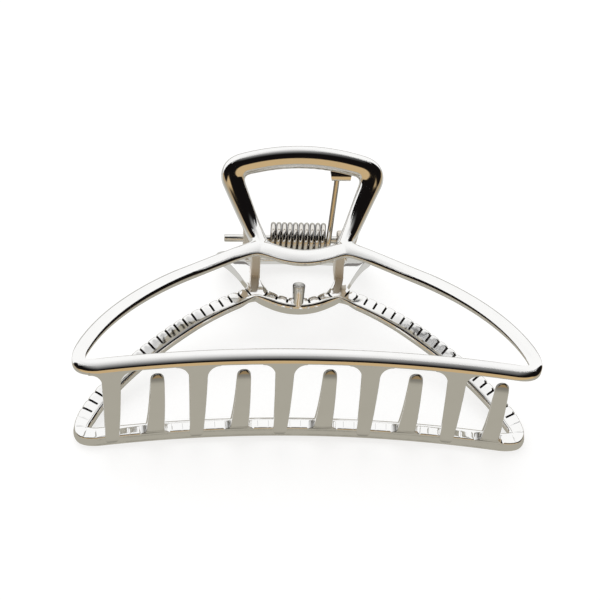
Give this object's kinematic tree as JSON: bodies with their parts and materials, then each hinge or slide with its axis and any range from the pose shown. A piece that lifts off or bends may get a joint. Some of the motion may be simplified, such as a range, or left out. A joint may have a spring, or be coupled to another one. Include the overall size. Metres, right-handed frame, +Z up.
{
  "type": "claw hair clip",
  "caption": "Metal claw hair clip with open-frame jaws and interleaved teeth, closed by a torsion spring on a hinge pin and opened by pinching its thumb loops.",
  "frame": {"origin": "centre of the footprint of the clip lying on its rear jaw, on the table", "axes": "+X along the hinge pin, to the right as seen from the front jaw with the thumb loops up; +Y from the teeth towards the thumb loops; +Z up, from the rear jaw to the front jaw"},
  "size_m": [0.1048, 0.0662, 0.0424],
  "materials": {
    "jaw_plating": "polished, nickel or chrome plated zinc casting",
    "pin_steel": "bright drawn steel",
    "spring_steel": "bright drawn spring wire"
  },
  "bodies": {
    "rear_half": {"rear_jaw": "jaw_plating", "hinge_pin": "pin_steel", "torsion_spring": "spring_steel"},
    "front_half": {"front_jaw": "jaw_plating"}
  },
  "joints": [
    {"name": "jaw_hinge", "type": "hinge", "parent": "rear_half", "child": "front_half", "pos_m": [0, 0.01895, 0.02022], "axis": [-1, 0, 0], "range_deg": [0, 100], "stiffness_Nm_per_rad": 0.072, "springref_deg": -89.95, "deforming": ["torsion_spring"]}
  ]
}
